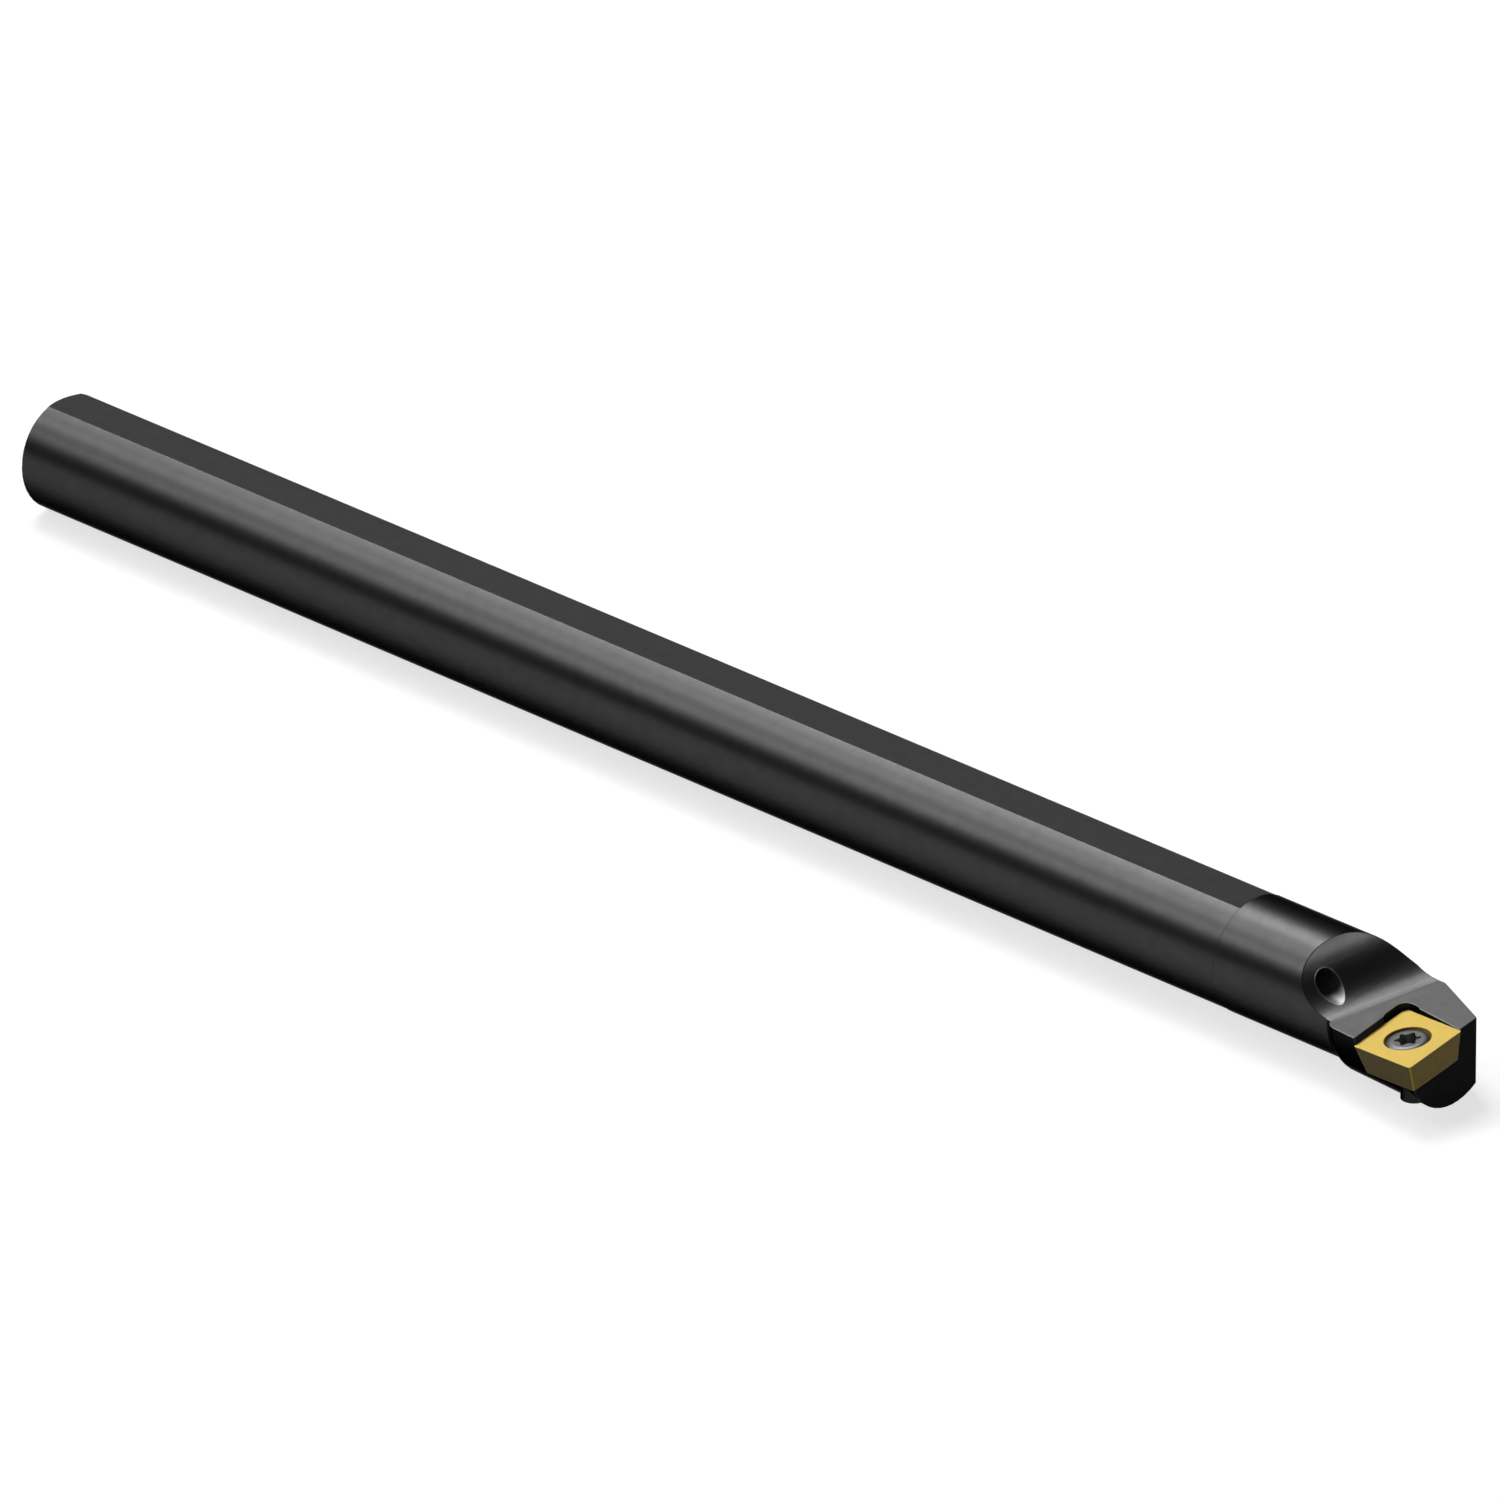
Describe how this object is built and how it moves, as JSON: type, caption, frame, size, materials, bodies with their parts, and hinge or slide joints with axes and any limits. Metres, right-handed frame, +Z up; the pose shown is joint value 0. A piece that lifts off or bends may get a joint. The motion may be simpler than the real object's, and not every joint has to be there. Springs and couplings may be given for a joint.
{
  "type": "boring bar",
  "caption": "Round coolant-through boring bar with clamping flats, and a screw-clamped rhombic carbide insert at its cutting end.",
  "frame": {"origin": "on the bar's axis, in the plane of its rear face, at the mouth of the coolant bore", "axes": "+X along the bar from its rear face to the cutting end, +Z up square to the clamping flats, the cutting corner stands out towards -Y"},
  "size_m": [0.1544, 0.0111, 0.01],
  "materials": {
    "blackened_steel": "blackened, satin",
    "coated_carbide": "gold titanium nitride coating, satin",
    "black_screw_steel": "blackened, satin"
  },
  "bodies": {
    "root": {"bar_body": "blackened_steel", "insert": "coated_carbide", "insert_screw": "black_screw_steel"}
  },
  "joints": []
}
